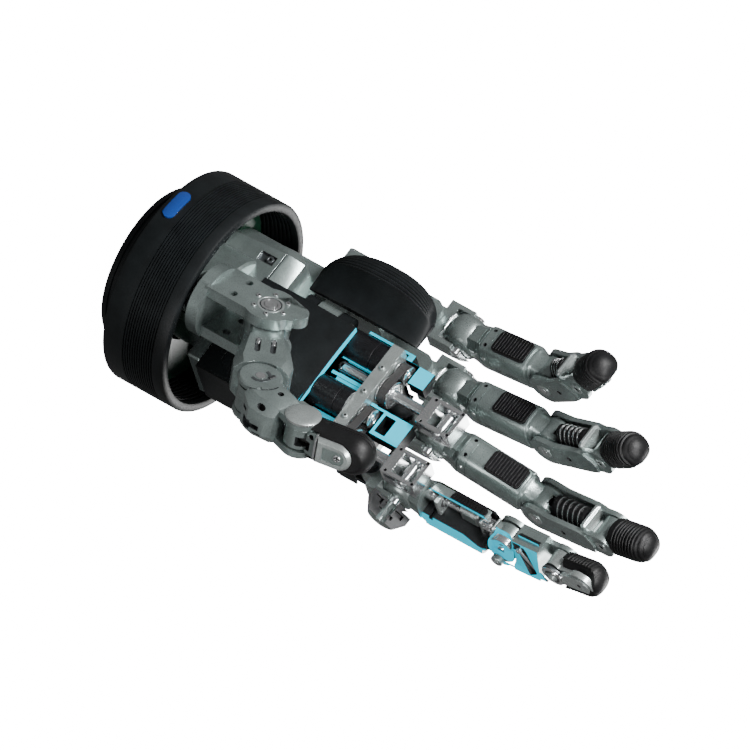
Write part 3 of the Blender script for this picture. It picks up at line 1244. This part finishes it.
def thumb_proximal():
    """Faceted knuckle housing between two pairs of ears, with slots, holes and a lens over the end joint."""
    _, _, prox, _ = thumb_frames()
    l = (pivot("thumb_end") - pivot("thumb_middle")).length
    body = rings([thumb_section(3.8, -6.8, 10.4, 8.9, 2.2), thumb_section(10, -7.2, 13.0, 9.2, 4.0),
                  thumb_section(l - 9, -7.0, 10.8, 8.6, 3.8), thumb_section(l - 6.8, -6.4, 8.6, 7.6, 3.0)],
                 GREY)
    sockets = [rod_y(8.5, -5.8, 5.8, GREY, 96), rod_y(7.4, -4.8, 4.8, DARK_METAL, 72, at=(0, 0, l))]
    facet = Matrix.Translation((10.2, -6.6, 14.0)) @ Matrix.Rotation(radians(-45), 4, "Z")
    oval_hole = turned(oval_bar(-2.2, 4, 0, 0, 1.25, 1.9, HOLE), facet)
    slots = [block((10.4, 0.6, 6.6), (15, 4.4, 11.4), DARK_METAL),
             block((9.2, 1.4, 11.2), (15, 3.4, 15.4), DARK_METAL),
             block((10.9, -3.0, 4.6), (15, -1.6, 8.4), HOLE), block((9.0, 4.6, 13.0), (15, 5.6, 16.5), HOLE)]
    holes = [rod_y(1.25, -12, -7.4, HOLE, 28, at=(0.6, 0, 13.2)),
             rod_y(1.0, -12, -7.6, HOLE, 24, at=(5.8, 0, 6.4))]
    groove = washer_y(9.9, 9.3, -9.4, -8.3, DARK_METAL)
    groove = cut(groove, block((-12, -12, -12), (12, 12, 1.0), HOLE),
                 block((-12, -12, 0), (-1, 12, 12), HOLE))
    body = cut(body, *sockets, oval_hole, groove, *slots, *holes)
    ears = []
    for s in (-1, 1):
        ears.append(cut(rod_y(8.6, *span(s, 5.85, 8.8), GREY, 80, edge=0.7), rod_y(2.05, -12, 12, HOLE, 32)))
        round_end = [(6.8 * cos(k / 6), l + 6.8 * sin(k / 6)) for k in range(38)]
        web = hull([(x, y, z) for y in span(s, 4.85, 7.6) for x, z in round_end]
                   + [(x, y, l - 8) for y in span(s, 4.85, 7.6) for x in (-5.8, 6.2)], GREY)
        ears.append(cut(web, rod_y(1.7, -12, 12, HOLE, 28, at=(0, 0, l))))
    lens = lathe([(0.1, 0), (6.9, 0), (6.9, 0.35), (6.2, 0.85), (4.0, 1.1), (0.1, 1.2)], LIGHT, 72)
    lens = shifted(spun(lens, 90, "X"), 0, -7.6, l)
    rim = washer_y(7.05, 6.3, -7.95, -7.3, BRIGHT, 0, l)
    slit = block((-4.6, -9.4, 2.4), (-1.4, -8.4, 4.0), HOLE, 0.2)
    crescent = washer_y(4.2, 3.0, -9.05, -8.6, DARK_METAL)
    crescent = cut(crescent, block((-6, -12, -6), (6, 12, -0.6), HOLE))
    piece("thumb_proximal_housing", "thumb_proximal",
          [body] + ears + [lens, rim, slit, crescent], at=prox, replaces=["thumb_proximal"], edge=0.35)


def thumb_tip():
    """Neck, bright ring and rounded nail cap of the thumb's end link."""
    _, _, _, end = thumb_frames()
    neck = rings([thumb_section(4.6, -4.4, 5.6, 4.9, 1.2), thumb_section(8.8, -4.6, 7.2, 5.9, 1.8)], GREY)
    pit = oval_bar(3.4, 9, -3.9, 6.7, 0.8, 1.2, HOLE)
    neck = cut(neck, pit, block((2.6, -1.4, 1.0), (9, 2.6, 6.6), HOLE), rod_y(6.1, -10, 10, GREY, 64))
    drum = cut(rod_y(6, -4.5, 4.5, GREY, 64, edge=0.5), block((1.5, -1.4, 0.4), (9, 2.6, 8), HOLE))
    ring = rings([thumb_section(8.7, -4.4, 7.6, 6.1, 1.9), thumb_section(9.5, -4.4, 7.7, 6.2, 1.9)], BRIGHT)
    outline, inset = arch(5.6, 9.5, 18.4, 28), arch(4.5, 10.2, 18.4, 28)
    cap = rings([[(x, y, z) for y, z in rim] for x, rim in ((0.3, outline), (6.7, outline), (7.9, inset))],
                LIGHT)
    cap = cut(cap, plate(arch(2.9, 12.4, 18.6, 20), 7.4, 9, GREY))
    tail = block((-4.5, -4.3, 5), (0.6, 4.3, 13.9), GREY, 0.2)
    tail = cut(tail, rod_y(7.2, -10, 10, GREY, 64))
    head = rod_x(1.6, 7.2, 8.0, BRIGHT, 36, edge=0.2, at=(0, 0, 18.6))
    cross = [block((7.5, -1.1, 18.35), (9, 1.1, 18.85), HOLE),
             block((7.5, -0.25, 17.5), (9, 0.25, 19.7), HOLE)]
    head = cut(head, *cross)
    piece("thumb_tip_core", "thumb_tip", [neck, drum, ring, cap, tail, head], at=end,
          replaces=["thumb_tip"], edge=0.28)


def thumb_rubber():
    """Ribbed rubber pad round the inner side of the thumb's tip."""
    _, _, _, end = thumb_frames()
    length = 31.0
    r = 8.2
    # grooves along the pad: degrees between them, half their width in radians, and their depth
    groove_step, groove_half, groove_depth = 17, 0.035, 0.38
    grooves = [radians(180 + groove_step * k) for k in range(-5, 6)]
    loops = []
    seg, sections, z0 = 160, 44, 5.0
    for i in range(sections):
        t = i / (sections - 1)
        z = z0 + (length - 0.02 - z0) * (1 - (1 - t) ** 1.7)
        over = max(0.0, z - (length - r))
        radius = sqrt(max(0.02, r * r - over * over))
        loop = []
        for k in range(seg):
            a = 2 * pi * k / seg
            near = min(abs(atan2(sin(a - g), cos(a - g))) for g in grooves)
            dip = groove_depth if near < groove_half and 9 < z < length - 2.0 else 0.0
            x = (radius - dip) * cos(a)
            loop.append((min(x, 6.4), (radius - dip) * sin(a), z))
        loops.append(loop)
    dome = rings(loops, RUBBER)
    dome = cut(dome, rod_y(7.3, -20, 20, RUBBER, 72),
               plate(arch(5.7, -2, 18.4, 24), 0.1, 9, RUBBER),
               block((-4.75, -4.75, -1), (0.5, 4.75, 14.2), RUBBER),
               block((-4.6, -6.5, 3), (9, 6.5, 9.6), RUBBER))
    piece("thumb_dome", "thumb_tip", [dome], at=end, replaces=["thumb_tip_rubber"], edge=0)


thumb_turntable()
thumb_metacarpal()
thumb_proximal()
thumb_tip()
thumb_rubber()


# ---------------------------------------------------------------- stage
def camera():
    """Long lens over the palm side, rolled so that the fingers point right and down."""
    toward = Vector((0.3261, -0.8496, 0.4147))
    up = Vector((-0.7445, -0.5012, -0.4411))
    target = Vector((-4.1, 0.0, 103.2)) * MM
    distance = 10.0
    cam = bpy.data.cameras.new("camera")
    cam.sensor_width = 36
    cam.lens = 1270
    cam.clip_end = 40
    obj = add("camera", cam)
    obj.matrix_world = local(target + toward * distance, toward, up.cross(toward))
    bpy.context.scene.camera = obj


def area_light(name, position, size, power, target=(0, 0, 0.12)):
    """A round soft light aimed at the middle of the hand."""
    light = bpy.data.lights.new(name, "AREA")
    light.shape = "DISK"
    light.size = size
    light.energy = power
    obj = add(name, light)
    obj.location = position
    aim = Vector(target) - Vector(position)
    obj.rotation_euler = aim.to_track_quat("-Z", "Y").to_euler()


def studio():
    """White room, four soft lights and a pale floor."""
    world = bpy.data.worlds.new("white_room")
    bpy.context.scene.world = world
    world.use_nodes = True
    back = world.node_tree.nodes["Background"]
    back.inputs["Color"].default_value = (1, 1, 1, 1)
    back.inputs["Strength"].default_value = 0.2
    area_light("key", (-0.5, -0.75, 0.75), 0.3, 30)
    area_light("strip", (0.15, -0.5, 1.0), 0.25, 14)
    area_light("rim", (-0.3, 0.7, 0.5), 0.5, 8)
    area_light("fill", (0.9, -0.5, 0.1), 0.5, 6)
    floor_mat = surface("pale_floor", (0.9, 0.9, 0.9), 0.0, 0.7, spread=0.01, mottle=0.01, bump=0.0)
    glow(floor_mat, (1, 1, 1), 16.0)
    size = 6.0
    mesh = bpy.data.meshes.new("floor")
    corners = [(-size, -size, 0), (size, -size, 0), (size, size, 0), (-size, size, 0)]
    mesh.from_pydata(corners, [], [(0, 1, 2, 3)])
    mesh.materials.append(floor_mat)
    floor = add("floor", mesh)
    floor.location.z = -0.0005
    floor.visible_glossy = False
    floor.visible_diffuse = False


camera()
studio()


def corners(box):
    return [list(corner) for corner in box]
